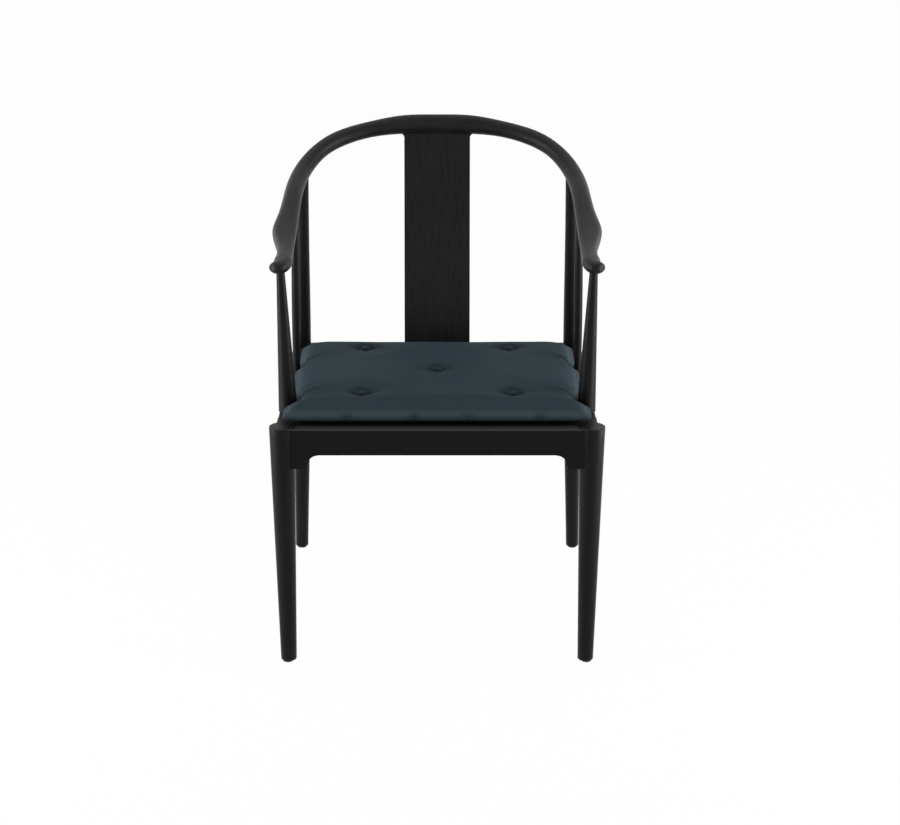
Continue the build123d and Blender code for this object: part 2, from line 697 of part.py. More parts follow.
def cushion_outline(inset):
    """Right half of the plan, from the front to the back, with a notch round each upright."""
    front, back = CUSHION_FRONT_Y + inset, CUSHION_BACK_Y - inset
    points = [(CUSHION_FRONT_X - inset, front)]
    notches = (
        (POST_Y, POST_D / 2, POST_X, CUSHION_FRONT_X, CUSHION_MIDDLE_X),
        (SPINDLE_Y, SPINDLE_D / 2, min(SPINDLE_X, SPINDLE_TOP_X), CUSHION_MIDDLE_X, CUSHION_REAR_X),
    )
    for y, radius, x, before, after in notches:
        deep = x - radius - NOTCH_GAP - inset
        half = radius + NOTCH_GAP + inset
        points += [(before - inset, y - half - NOTCH_SLOPE), (deep, y - half)]
        points += [(deep, y + half), (after - inset, y + half + NOTCH_SLOPE)]
    points.append((CUSHION_REAR_X - inset, back))
    return points


def cushion_form(inset=0.0):
    """A crowned pad with notches for the uprights, dimples on top and pockets underneath."""
    half = cushion_outline(inset)
    outline = make_face(Polyline(*half, *[(-x, y) for x, y in reversed(half)], close=True))
    front, back = half[0][1], half[-1][1]
    notch_x = max(x for x, _ in half[2:4] + half[6:8])
    corners, lobes, valleys = [], [], []
    for vertex in outline.vertices():
        if min(abs(vertex.Y - front), abs(vertex.Y - back)) < 1:
            corners.append(vertex)
        elif abs(vertex.X) > notch_x + 1:
            lobes.append(vertex)
        else:
            valleys.append(vertex)
    outline = fillet(corners, CUSHION_CORNER_R - inset)
    outline = fillet([near(outline, vertex) for vertex in lobes], CUSHION_LOBE_R - inset)
    outline = fillet([near(outline, vertex) for vertex in valleys], CUSHION_VALLEY_R + inset)
    low, high = CUSHION_Z + inset, CUSHION_Z + CUSHION_TALL - inset
    pad = Pos(0, 0, low) * extrude(outline, high - low + 1)
    pad &= Pos(0, CUSHION_MID_Y, CROWN_CENTRE_Z) * Sphere(CROWN_R - inset)
    for x, y in tuft_places():
        dimple_z = crown_z(x, y) - TUFT_DEEP + DIMPLE_R
        pad -= Pos(x, y, dimple_z) * Sphere(DIMPLE_R + inset)
        pad -= Pos(x, y, CUSHION_Z) * Cylinder(TIE_BACK_D / 2 + 2 + inset, 2 * (TIE_POCKET + inset))
    top = pad.faces().sort_by(SortBy.AREA)[-2:].sort_by(Axis.Z)[-1]
    pad = fillet(top.outer_wire().edges(), CUSHION_EDGE_R - inset)
    under = pad.faces().sort_by(Axis.Z)[0]
    return fillet(under.outer_wire().edges(), CUSHION_UNDER_R - inset)


def near(outline, vertex):
    """The outline's vertex at the same place, after other corners have been rounded."""
    return outline.vertices().sort_by_distance(vertex)[0]


def tuft_button(x, y):
    """A covered button: a low dome."""
    cap_r = (TUFT_D ** 2 / 4 + TUFT_TALL ** 2) / (2 * TUFT_TALL)
    dome = Pos(0, 0, TUFT_TALL - cap_r) * Sphere(cap_r)
    disc = Cylinder(TUFT_D / 2, TUFT_TALL, align=(Align.CENTER, Align.CENTER, Align.MIN))
    return Pos(x, y, button_z(x, y)) * (disc & dome)


def tie(x, y, grow=0.0):
    return rod((x, y, CUSHION_Z + TIE_POCKET - grow), (x, y, button_z(x, y) + grow), TIE_D + 2 * grow)


def tie_back(x, y):
    disc = Cylinder(TIE_BACK_D / 2, TIE_BACK_TALL, align=(Align.CENTER, Align.CENTER, Align.MAX))
    return Pos(x, y, CUSHION_Z + TIE_POCKET) * disc


def cushion():
    ties = [tie(x, y, GLUE) for x, y in tuft_places()]
    outside, inside, foam = cushion_form(), cushion_form(LEATHER), cushion_form(LEATHER + GLUE)
    cover = outside - inside
    for hole in ties:
        cover -= hole
        foam -= hole
    return {
        "cushion_cover": cover,
        "cushion_core": foam,
        "tuft_buttons": Compound(children=[tuft_button(x, y) for x, y in tuft_places()]),
        "tuft_ties": Compound(children=[tie(x, y) for x, y in tuft_places()]),
        "tuft_backs": Compound(children=[tie_back(x, y) for x, y in tuft_places()]),
    }


# ---- the chair ---------------------------------------------------------------------------

def build():
    pieces = {}
    whole = horseshoe()
    room = horseshoe(GLUE)

    # legs with their glides
    front_leg = front_leg_blank()
    front_leg = fillet(front_leg.edges().sort_by(Axis.Z)[-1], FRONT_LEG_CROWN)
    front_leg = fillet(front_leg.edges().sort_by(Axis.Z)[0], FOOT_EASE)
    rear_leg = rear_leg_blank() - room
    rear_leg = rear_leg.solids().sort_by(SortBy.VOLUME)[-1]
    rear_leg = fillet(rear_leg.edges().sort_by(Axis.Z)[0], FOOT_EASE) + rear_pin()
    for name in RAILS:
        for corner, backwards in ((RAILS[name][0], False), (RAILS[name][1], True)):
            mortise = rail_plane(name, backwards).location * tenon(CORNERS[corner][2], GLUE)
            if corner == "front_right":
                front_leg -= mortise
            if corner == "rear_right":
                rear_leg -= mortise
    front_foot, rear_foot = front_leg_point(GLIDE_TALL), rear_leg_point(GLIDE_TALL)
    front_leg -= nail_hole(front_foot)
    rear_leg -= nail_hole(rear_foot)
    pieces["front_leg_right"] = front_leg
    pieces["rear_leg_right"] = rear_leg
    pieces["foot_glide_front_right"] = glide(front_foot)
    pieces["foot_glide_rear_right"] = glide(rear_foot)

    # seat frame
    rooms = {"front_right": front_leg_blank(GLUE), "rear_right": rear_leg_blank(GLUE)}
    rooms["front_left"], rooms["rear_left"] = mirrored(rooms["front_right"]), mirrored(rooms["rear_right"])
    for name in RAILS:
        pieces[name] = rail(name)
        for backwards in (False, True):
            corner = RAILS[name][1 if backwards else 0]
            kind = "side" if name.startswith("side") else "cross"
            pieces[f"corner_block_{corner}_{kind}"] = corner_block(name, backwards, rooms)
    for grown in all_screws(GLUE):
        for name in RAILS:
            pieces[name] -= grown
    pieces["seat_panel"] = seat_panel()
    for corner in CORNERS:
        pieces[f"corner_brace_{corner}"] = corner_brace(corner)
    pieces["brace_screws"] = Compound(children=all_screws())

    # posts and spindles
    pieces["arm_post_right"] = arm_post(room)
    pieces["side_spindle_right"] = side_spindle(room)
    holes = [post_spigot(GLUE), spindle_spigot(GLUE)]
    for hole in holes:
        pieces["side_rail_right"] -= hole
        pieces["side_rail_left"] -= mirrored(hole)

    # back splat
    low, high = splat_tenons()
    low_room, high_room = splat_tenons(GLUE)
    splat = (splat_side(SPLAT_THICK) & splat_face()) - room
    splat = splat.solids().sort_by(SortBy.VOLUME)[-1]
    pieces["back_splat"] = splat + low + high
    pieces["rear_rail"] -= low_room

    # horseshoe
    right, left = arm_region(1), arm_region(-1)
    arm = whole & right
    arm = arm - rear_pin(GLUE) - post_pin(GLUE) - spindle_pin(GLUE)
    pieces["arm_right"] = arm
    pieces["crest_rail"] = whole - right - left - high_room

    pieces.update(cushion())
    for name in list(pieces):
        if name.endswith("_right") and name.replace("_right", "_left") not in pieces:
            pieces[name.replace("_right", "_left")] = mirrored(pieces[name])
    return pieces


if __name__ == "__main__":
    os.makedirs("parts", exist_ok=True)
    for name, piece in build().items():
        export_step(piece, f"parts/{name}.step")
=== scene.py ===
import math

import bpy
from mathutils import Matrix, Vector, kdtree, noise


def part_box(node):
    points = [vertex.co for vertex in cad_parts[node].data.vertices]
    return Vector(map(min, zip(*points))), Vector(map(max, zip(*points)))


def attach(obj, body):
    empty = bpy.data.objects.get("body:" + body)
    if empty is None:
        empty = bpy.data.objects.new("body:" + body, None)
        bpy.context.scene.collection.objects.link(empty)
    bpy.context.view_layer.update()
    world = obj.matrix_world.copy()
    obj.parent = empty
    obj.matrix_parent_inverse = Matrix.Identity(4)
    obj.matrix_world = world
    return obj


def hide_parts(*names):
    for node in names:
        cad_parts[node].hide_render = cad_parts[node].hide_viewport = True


# Horseshoe back armchair in black stained ash, with a loose tufted leather cushion. Metres.

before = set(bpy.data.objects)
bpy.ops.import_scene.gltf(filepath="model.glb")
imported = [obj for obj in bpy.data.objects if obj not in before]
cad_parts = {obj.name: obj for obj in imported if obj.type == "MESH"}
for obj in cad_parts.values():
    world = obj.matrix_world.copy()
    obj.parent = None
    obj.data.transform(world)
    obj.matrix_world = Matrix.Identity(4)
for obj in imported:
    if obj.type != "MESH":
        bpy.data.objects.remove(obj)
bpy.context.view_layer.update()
bpy.ops.object.select_all(action="DESELECT")

# ---- sizes -------------------------------------------------------------------------------

SEAT_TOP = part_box("front_rail")[1].z
LEG_FULLER = 1.13             # width of a front leg against its CAD node's
LEG_END = 0.03                # length at each end over which a leg's width is read

PAD_LOW, PAD_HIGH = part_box("cushion_cover")
PAD_REST = 0.0004             # the pad's underside above the rails
CLEARANCE = 0.0011            # between the hide and an upright
VOXEL = 0.0048                # mesh size for the stuffing

# the outline, seen from above
CORNER_R = 0.0300             # front corners
CORNER_SHARP = 0.95           # 0 is a round corner, 1 is square
REAR_X = 0.2390               # half width of the back lobes
BACK_CORNER_R = 0.0480
BACK_CORNER_ROUND = 0.8       # 0 leaves a back corner as it is cut, 1 is fully round
FRONT_SPREAD = 0.0120         # share by which the front lobes spread sideways
SPREAD_START = 0.02           # full that far behind the front edge
SPREAD_FADE = 0.05            # and gone after this much more

# the section
SEAM_Z = SEAT_TOP + 0.0150    # where the top and bottom hides are sewn together
TOP_Z = PAD_HIGH.z - 0.0016
TOP_ROLL = 0.0450             # how far in from the seam the top reaches its full height
BACK_ROLL = 0.0850            # and how far in from the back seam
NOTCH_STEEP = 0.60            # how much sooner the top is full beside a notch
NOTCH_REACH = 0.026
UNDER_ROLL = 0.0300
ROLL_FULL = 2.1               # how fast the section rises from the seam
ROLL_MEET = 5                 # how sharply two rolls meet

# the stuffing
SWELL = 4.0                   # its pressure
SWELL_CAP = 0.0022            # furthest that it moves the hide
SWELL_STEPS = 20
HIDE_MASS = 0.35
HIDE_STRETCH = 18
HIDE_SHEAR = 8
HIDE_BEND = 1.2
GRIP_FADE = 0.004             # from held to free, at the seat and the seam
BUTTON_GRIP = 0.008           # the same round a button

# buttons and the hollows round them
BUTTON_R = 0.0092
BUTTON_REST = 0.0002          # the hide and the button meet that far above the CAD button's underside
BUTTON_APART = 0.03           # points nearer than this are the same button's
DIMPLE_X = 0.0390             # half width of the lens-shaped hollow round a button
DIMPLE_Y = 0.0330
DIMPLE_FLOOR = 1.25           # above 1, the hollow has a flat floor
CREASE_LONG = 0.0300          # half length of the fold through a button
CREASE_DEEP = 0.0034
CREASE_REACH = 0.02
CREASE_CLEAR = 0.006          # the fold starts this far from the button's middle
SHADE_BACK = 0.0050          # the painted shade is darkest a little behind a button

# the seam, its gathers and the creases from the notches
SEAM_PROUD = 0.0034           # the sewn edge stands out this far
SEAM_TALL = 0.0042
SEAM_DEEP = 0.0011            # the groove of the stitching
SEAM_NARROW = 0.0013
TOP_START = 0.004             # the top's own folds begin this far above the seam
PUCKERS = (-0.1456, -0.0377, 0.0489, 0.1649)
PUCKER_DEEP = 0.0034
PUCKER_RISE = 0.0022          # its middle, above the seam
PUCKER_TALL = 0.0036
PUCKER_WIDE = 0.0105
SIDE_CREASE_LONG = 0.0750     # a crease runs in from each notch
SIDE_CREASE_DEEP = 0.0036
SIDE_CREASE_WIDE = 0.0075
SIDE_CREASE_SLANT = 0.12
FOLD_SHADE = 0.8              # strength of the painted shade in a fold
SHOULDER_SHADE = 0.35         # and of the painted shade in a band along the front shoulder
SHOULDER_BACK = 0.046
SHOULDER_WIDE = 0.018
UNEVEN = 0.0005               # slow unevenness of a hand-made pad
UNEVEN_SCALE = 26.0

SKY = 0.32                    # strength of the room's light on matt surfaces
FLOOR_GLOW = 0.98             # share of white in the floor, where it is seen directly


# ---- finishes ----------------------------------------------------------------------------

class Line:
    """A line between nodes: arithmetic on it adds Math nodes."""

    def __init__(self, finish, socket):
        self.finish = finish
        self.socket = socket

    def sum_of(self, operation, first, second=0.0):
        return self.finish.node("ShaderNodeMath", {"operation": operation}, {0: first, 1: second})[0]

    def __add__(self, other):
        return self.sum_of("ADD", self, other)

    def __radd__(self, other):
        return self.sum_of("ADD", other, self)

    def __sub__(self, other):
        return self.sum_of("SUBTRACT", self, other)

    def __rsub__(self, other):
        return self.sum_of("SUBTRACT", other, self)

    def __mul__(self, other):
        return self.sum_of("MULTIPLY", self, other)

    def __rmul__(self, other):
        return self.sum_of("MULTIPLY", other, self)

    def __pow__(self, other):
        return self.sum_of("POWER", self, other)

    def at_most(self, other):
        return self.sum_of("MINIMUM", self, other)

    def at_least(self, other):
        return self.sum_of("MAXIMUM", self, other)


class Finish:
    """A procedural finish, built from nodes."""

    def __init__(self, name, owner=None):
        self.owner = owner or bpy.data.materials.new(name)
        self.owner.use_nodes = True
        self.tree = self.owner.node_tree

    def node(self, kind, settings, sockets):
        """Adds a node: its settings first, then the values or lines of its sockets."""
        made = self.tree.nodes.new(kind)
        for key, value in settings.items():
            setattr(made, key, value)
        for key, value in sockets.items():
            if isinstance(value, Line):
                self.tree.links.new(value.socket, made.inputs[key])
            else:
                made.inputs[key].default_value = value
        return Outputs(self, made)

    def blend(self, factor, first, second):
        """A colour between two."""
        return self.node("ShaderNodeMix", {"data_type": "RGBA"}, {0: factor, 6: first, 7: second})[2]

    def surface(self, sockets):
        """Sets the shader's own sockets, and gives the finished material."""
        shader = self.tree.nodes["Principled BSDF"]
        for key, value in sockets.items():
            if isinstance(value, Line):
                self.tree.links.new(value.socket, shader.inputs[key])
            else:
                shader.inputs[key].default_value = value
        return self.owner


class Outputs:
    """A node's outputs, as lines."""

    def __init__(self, finish, made):
        self.finish = finish
        self.made = made

    def __getitem__(self, key):
        return Line(self.finish, self.made.outputs[key])


def tone(red, green, blue):
    """A colour from its red, green and blue out of 255."""
    return tuple(((value / 255 + 0.055) / 1.055) ** 2.4 for value in (red, green, blue)) + (1.0,)


PORE = tone(9, 8, 9)
# painted highlight: the colour given to up-facing wood faces
TOP_HIGHLIGHT = tone(62, 59, 62)
LEATHER_CREASE = tone(24, 31, 34)
# painted shade: the hide's colour in the button hollows, the creases, the seam's gathers and along the front
# shoulder
LEATHER_PAINTED_SHADE = tone(20, 28, 32)
# painted highlight: the hide's colour in a band just above the seam
LEATHER_SEAM_HIGHLIGHT = tone(66, 76, 80)


def stretched(finish, sizes):
    """Object coordinates, drawn out along the grain."""
    place = finish.node("ShaderNodeTexCoord", {}, {})["Object"]
    return finish.node("ShaderNodeMapping", {}, {"Vector": place, "Scale": sizes})["Vector"]


def black_ash(name, sizes, dark, light, shine=0.33, top_highlight=0.0):
    """Stained ash under a satin lacquer, its grain drawn out along one axis, with a painted highlight that
    lightens its up-facing faces.
    """
    finish = Finish(name)
    place = stretched(finish, sizes)
    wave = finish.node("ShaderNodeTexNoise", {}, {
        "Vector": place, "Scale": 1.0, "Detail": 4.0, "Roughness": 0.55,
    })
    fine = finish.node("ShaderNodeTexNoise", {}, {
        "Vector": place, "Scale": 5.5, "Detail": 3.0, "Roughness": 0.6,
    })
    speck = finish.node("ShaderNodeTexNoise", {}, {
        "Vector": finish.node("ShaderNodeTexCoord", {}, {})["Object"], "Scale": 420.0, "Detail": 2.0,
    })
    pores = ((fine[0] - 0.52) * 6.0).at_least(0.0).at_most(1.0)
    grain = (wave[0] * 0.55 + fine[0] * 0.3 + speck[0] * 0.15 - 0.32) * 2.6
    grain = grain.at_least(0.0).at_most(1.0)
    colour = finish.blend(grain, tone(*dark), tone(*light))
    colour = finish.blend(pores * 0.35, colour, PORE)
    normal = finish.node("ShaderNodeNewGeometry", {}, {})["Normal"]
    facing = finish.node("ShaderNodeSeparateXYZ", {}, {"Vector": normal})
    # painted highlight: faces that point up are lightened, as though lit from above
    top = ((facing["Z"] - 0.6) * 3.0).at_least(0.0).at_most(1.0)
    colour = finish.blend(top * top_highlight * (0.7 + grain * 0.3), colour, TOP_HIGHLIGHT)
    rough = shine + grain * 0.08 + pores * 0.1
    height = grain * 0.5 - pores * 0.8 + speck[0] * 0.25
    bump = finish.node("ShaderNodeBump", {}, {"Strength": 0.35, "Distance": 0.00022, "Height": height})
    return finish.surface({
        "Base Color": colour, "Roughness": rough, "Normal": bump["Normal"], "Specular IOR Level": 0.10,
    })


def teal_leather(name, dark, light, shine=0.62, seam_highlight=0.0):
    """Smooth hide with a fine pebble, a slow change of colour, painted shade where the pad's points are marked
    and a painted highlight in a band beside the seam.
    """
    finish = Finish(name)
    place = finish.node("ShaderNodeTexCoord", {}, {})["Object"]
    cells = finish.node("ShaderNodeTexVoronoi", {"feature": "F1"}, {
        "Vector": place, "Scale": 620.0, "Randomness": 1.0,
    })
    creased = finish.node("ShaderNodeTexVoronoi", {"feature": "DISTANCE_TO_EDGE"}, {
        "Vector": place, "Scale": 330.0, "Randomness": 1.0,
    })
    slow = finish.node("ShaderNodeTexNoise", {}, {
        "Vector": place, "Scale": 9.0, "Detail": 3.0, "Roughness": 0.5,
    })
    speck = finish.node("ShaderNodeTexNoise", {}, {"Vector": place, "Scale": 900.0, "Detail": 2.0})
    crease = 1.0 - (creased["Distance"] * 9.0).at_most(1.0)
    mottled = ((slow[0] - 0.35) * 1.9).at_least(0.0).at_most(1.0)
    colour = finish.blend(mottled, tone(*dark), tone(*light))
    colour = finish.blend(crease * 0.18, colour, LEATHER_CREASE)
    painted_shade = finish.node("ShaderNodeAttribute", {"attribute_name": "painted_shade"}, {})["Fac"]
    # painted shade, where the pad's mesh marks it
    colour = finish.blend(painted_shade * 0.7, colour, LEATHER_PAINTED_SHADE)
    level = finish.node("ShaderNodeSeparateXYZ", {}, {"Vector": place})["Z"]
    # painted highlight in a band just above the seam
    edge = 1.0 - ((level - (SEAM_Z + 0.0065)) * 190.0) ** 2
    colour = finish.blend(edge.at_least(0.0) * seam_highlight, colour, LEATHER_SEAM_HIGHLIGHT)
    height = cells["Distance"] * -0.5 - crease * 0.6 + speck[0] * 0.3
    bump = finish.node("ShaderNodeBump", {}, {"Strength": 0.32, "Distance": 0.00025, "Height": height})
    rough = shine + crease * 0.08 + slow[0] * 0.06
    return finish.surface({
        "Base Color": colour, "Roughness": rough, "Normal": bump["Normal"], "Specular IOR Level": 0.02,
    })


def plain(name, dark, light, grain, shine, metal=0.0):
    """A small part's finish: two close tones, mottled, with a fine tooth."""
    finish = Finish(name)
    place = finish.node("ShaderNodeTexCoord", {}, {})["Object"]
    mottle = finish.node("ShaderNodeTexNoise", {}, {"Vector": place, "Scale": grain, "Detail": 4.0})
    bump = finish.node("ShaderNodeBump", {}, {"Strength": 0.3, "Distance": 0.0003, "Height": mottle[0]})
    return finish.surface({
        "Base Color": finish.blend(mottle[0], tone(*dark), tone(*light)),
        "Roughness": shine + mottle[0] * 0.1, "Metallic": metal, "Normal": bump["Normal"],
    })


DARK_STAIN = (13, 12, 13)
LIGHT_STAIN = (25, 23, 25)
UPRIGHT = black_ash("black ash, upright grain", (150.0, 150.0, 9.0), DARK_STAIN, LIGHT_STAIN)
# darker tones than the uprights' stain, as painted shade on the rails, and a strong painted highlight on their
# up-facing faces
CROSSWISE = black_ash("black ash, grain across", (9.0, 150.0, 150.0), (7, 6, 7), (17, 15, 17), top_highlight=0.9)
# a weaker painted highlight on the side rails' up-facing faces
LENGTHWISE = black_ash("black ash, grain front to back", (150.0, 9.0, 150.0), DARK_STAIN, LIGHT_STAIN, top_highlight=0.3)
HORSESHOE = black_ash("black ash, bent rail", (26.0, 26.0, 120.0), (20, 18, 20), (32, 30, 32), 0.35)
SPLAT = black_ash("black ash, splat", (170.0, 170.0, 7.0), (15, 13, 15), (32, 30, 32), 0.36)
PANEL = black_ash("black ash, seat board", (7.0, 130.0, 130.0), (22, 20, 22), (34, 32, 33), 0.5)
# its band beside the seam is a painted highlight
LEATHER = teal_leather("teal leather", (40, 50, 56), (46, 57, 62), seam_highlight=0.30)
# darker tones than the cushion's leather: painted shade for the buttons down in their hollows
SHADED_BUTTON_LEATHER = teal_leather("teal leather, buttons", (31, 42, 47), (37, 49, 54), 0.5)
TWINE = plain("waxed twine", (140, 128, 104), (178, 166, 140), 900.0, 0.7)
FOAM = plain("cut foam", (224, 216, 190), (240, 234, 212), 500.0, 0.85)
NYLON = plain("black nylon", (20, 20, 21), (34, 34, 35), 700.0, 0.5)
STEEL = plain("zinc plated steel", (168, 168, 170), (198, 198, 200), 900.0, 0.32, 1.0)


def finish_for(node):
    """The finish of a node that stays as it is, by its name."""
    for part, finish in (
        ("crest", HORSESHOE), ("arm_post", UPRIGHT), ("arm_", HORSESHOE), ("splat", SPLAT),
        ("side_rail", LENGTHWISE), ("_side", LENGTHWISE), ("rail", CROSSWISE), ("_cross", CROSSWISE),
        ("corner_brace", CROSSWISE), ("seat_panel", PANEL), ("screws", STEEL), ("glide", NYLON),
        ("ties", TWINE), ("backs", NYLON), ("core", FOAM), ("cover", LEATHER), ("buttons", SHADED_BUTTON_LEATHER),
    ):
        if part in node:
            return finish
    return UPRIGHT


for node_name, node_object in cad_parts.items():
    node_object.data.materials.clear()
    node_object.data.materials.append(finish_for(node_name))


# ---- front legs --------------------------------------------------------------------------

def loose_copy(node_name, name):
    """A node's mesh as a new piece, with its doubled points merged."""
    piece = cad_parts[node_name].copy()
    piece.data = piece.data.copy()
    piece.parent = None
    for key in list(piece.keys()):
        del piece[key]
    piece.name = name
    bpy.context.scene.collection.objects.link(piece)
    bpy.ops.object.select_all(action="DESELECT")
    piece.select_set(True)
    bpy.context.view_layer.objects.active = piece
    bpy.ops.object.mode_set(mode="EDIT")
    bpy.ops.mesh.select_all(action="SELECT")
    bpy.ops.mesh.remove_doubles(threshold=0.00002)
    bpy.ops.mesh.normals_make_consistent(inside=False)
    bpy.ops.object.mode_set(mode="OBJECT")
    return piece


def fuller_leg(node_name, name):
    """Replaces a front leg by one that is thicker on its inner and rear sides."""
    leg = loose_copy(node_name, name)
    points = [vertex.co.copy() for vertex in leg.data.vertices]
    low, high = min(p.z for p in points), max(p.z for p in points)
    ends = []
    for start, end in ((low, low + LEG_END), (high - LEG_END, high)):
        ring = [p for p in points if start <= p.z <= end]
        middle = sum(p.z for p in ring) / len(ring)
        ends.append((middle, max(abs(p.x) for p in ring), min(p.y for p in ring)))
    (foot_z, foot_x, foot_y), (head_z, head_x, head_y) = ends
    side = math.copysign(1.0, points[0].x)
    for vertex in leg.data.vertices:
        share = (vertex.co.z - foot_z) / (head_z - foot_z)
        outer = side * (foot_x + (head_x - foot_x) * share)
        front = foot_y + (head_y - foot_y) * share
        vertex.co.x = outer + (vertex.co.x - outer) * LEG_FULLER
        vertex.co.y = front + (vertex.co.y - front) * LEG_FULLER
    leg.data.materials.clear()
    leg.data.materials.append(UPRIGHT)
    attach(leg, "chair_frame")
    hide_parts(node_name)


fuller_leg("front_leg_left", "left_front_leg")
fuller_leg("front_leg_right", "right_front_leg")


# ---- cushion -----------------------------------------------------------------------------

def smoothly(value):
    """0 to 1 with soft ends."""
    value = min(max(value, 0.0), 1.0)
    return value * value * (3 - 2 * value)


def uprights():
    """Axis and radius of each upright near the cushion, at its foot and at the cushion's top."""
    found = []
    for name in ("arm_post_left", "arm_post_right", "side_spindle_left", "side_spindle_right"):
        points = [v.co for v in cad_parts[name].data.vertices]
        ends = []
        for low, high in ((SEAT_TOP, SEAT_TOP + 0.012), (PAD_HIGH.z - 0.008, PAD_HIGH.z + 0.012)):
            ring = [p for p in points if low < p.z < high]
            if not ring:
                ring = sorted(points, key=lambda p: abs(p.z - (low + high) / 2))[:60]
            centre = Vector((
                (min(p.x for p in ring) + max(p.x for p in ring)) / 2,
                (min(p.y for p in ring) + max(p.y for p in ring)) / 2,
                sum(p.z for p in ring) / len(ring),
            ))
            radius = max((Vector((p.x, p.y)) - Vector((centre.x, centre.y))).length for p in ring)
            ends.append((centre, radius))
        found.append(ends)
    return found


def keep_clear(point, posts):
    """The point, moved off the uprights and up off the seat."""
    for (foot, foot_radius), (head, head_radius) in posts:
        run = max(head.z - foot.z, 0.001)
        share = min(max((point.z - foot.z) / run, 0.0), 1.2)
        centre = foot.lerp(head, share)
        radius = foot_radius + (head_radius - foot_radius) * share + CLEARANCE
        away = Vector((point.x - centre.x, point.y - centre.y))
        if 0 < away.length < radius:
            away.normalize()
            point = Vector((centre.x + away.x * radius, centre.y + away.y * radius, point.z))
    point.z = max(point.z, SEAT_TOP + PAD_REST)
    return point


def button_spots():
    """Centre of each button, from the buttons' own mesh."""
    points = [v.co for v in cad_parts["tuft_buttons"].data.vertices]
    spots = []
    for point in points:
        for spot in spots:
            if (Vector((point.x, point.y)) - Vector((spot[0].x, spot[0].y))).length < BUTTON_APART:
                spot.append(point)
                break
        else:
            spots.append([point.copy()])
    made = []
    for spot in spots:
        xs, ys, zs = zip(*spot)
        made.append(Vector(((min(xs) + max(xs)) / 2, (min(ys) + max(ys)) / 2, min(zs))))
    return sorted(made, key=lambda p: (round(p.y, 2), p.x))


def stuffed_pad(posts, spots):
    """The cushion's hide: the cut shape, filled until it swells, then buttoned down and seamed."""
    pad = loose_copy("cushion_core", "leather_pad")
    even_out(pad)
    plump(pad, spots, posts)
    even_out(pad)
    soften(pad, 3)
    swell(pad, spots)
    soften(pad, 2)
    grow = pad.modifiers.new("finer", "SUBSURF")
    grow.levels = 1
    grow.render_levels = 1
    bpy.ops.object.modifier_apply(modifier="finer")
    outwards = [vertex.normal.copy() for vertex in pad.data.vertices]
    # painted shade, stored per point for the leather's colour: the button hollows, darkest a little behind each
    # button, the notch creases, the seam's gathers and a band behind the front shoulder
    painted_shade = pad.data.attributes.new("painted_shade", "FLOAT", "POINT")
    for vertex, outward in zip(pad.data.vertices, outwards):
        point = vertex.co.copy()
        folds = side_creases(point, posts)
        above = point.z > SEAM_Z + TOP_START
        shaded = point - Vector((0, SHADE_BACK, 0))
        dark = max(lens(shaded, spot) for spot in spots) * above + folds * FOLD_SHADE + puckered(point)
        # painted shade in a band behind the front shoulder
        shoulder = ((point.y - PAD_LOW.y - SHOULDER_BACK) / SHOULDER_WIDE) ** 2
        dark += SHOULDER_SHADE * above * math.exp(-shoulder)
        painted_shade.data[vertex.index].value = min(dark, 1.0)
        point -= outward * folds * SIDE_CREASE_DEEP
        vertex.co = keep_clear(dressed(point, outward, spots), posts)
    bpy.ops.object.shade_smooth()
    pad.data.materials.clear()
    pad.data.materials.append(LEATHER)
    return pad


def even_out(pad):
    """Gives the pad an even mesh."""
    pad.data.remesh_voxel_size = VOXEL
    pad.data.remesh_voxel_adaptivity = 0
    bpy.ops.object.voxel_remesh()


def roll(inside, reach):
    """Share of the full height at a distance in from the seam."""
    return 1 - (1 - min(max(inside / reach, 0.0), 1.0)) ** ROLL_FULL


def corner_point(point):
    """Draws the front corners out, so that they come nearer to a point, and rounds the back ones."""
    for side in (-1, 1):
        centre = Vector((side * (PAD_HIGH.x - CORNER_R), PAD_LOW.y + CORNER_R))
        out = Vector((point.x - centre.x, point.y - centre.y))
        if out.x * side > 0 and out.y < 0:
            square = out.length / max(abs(out.x), abs(out.y))
            grow = 1 + CORNER_SHARP * (square - 1) * min(out.length / CORNER_R, 1.0)
            point.x = centre.x + out.x * grow
            point.y = centre.y + out.y * grow
        centre = Vector((side * (REAR_X - BACK_CORNER_R), PAD_HIGH.y - BACK_CORNER_R))
        out = Vector((point.x - centre.x, point.y - centre.y))
        if out.x * side > 0 and out.y > 0:
            square = out.length / max(abs(out.x), abs(out.y))
            shrink = 1 + BACK_CORNER_ROUND * (1 / square - 1) * min(out.length / BACK_CORNER_R, 1.0)
            point.x = centre.x + out.x * shrink
            point.y = centre.y + out.y * shrink
    forward = 1 - smoothly((point.y - PAD_LOW.y - SPREAD_START) / SPREAD_FADE)
    point.x *= 1 + FRONT_SPREAD * forward
    return point


def lens(point, spot):
    """1 at a button, falling to 0 at the rim of the pointed hollow round it."""
    away = abs(point.x - spot.x) / DIMPLE_X + ((point.y - spot.y) / DIMPLE_Y) ** 2
    return smoothly(1 - away)


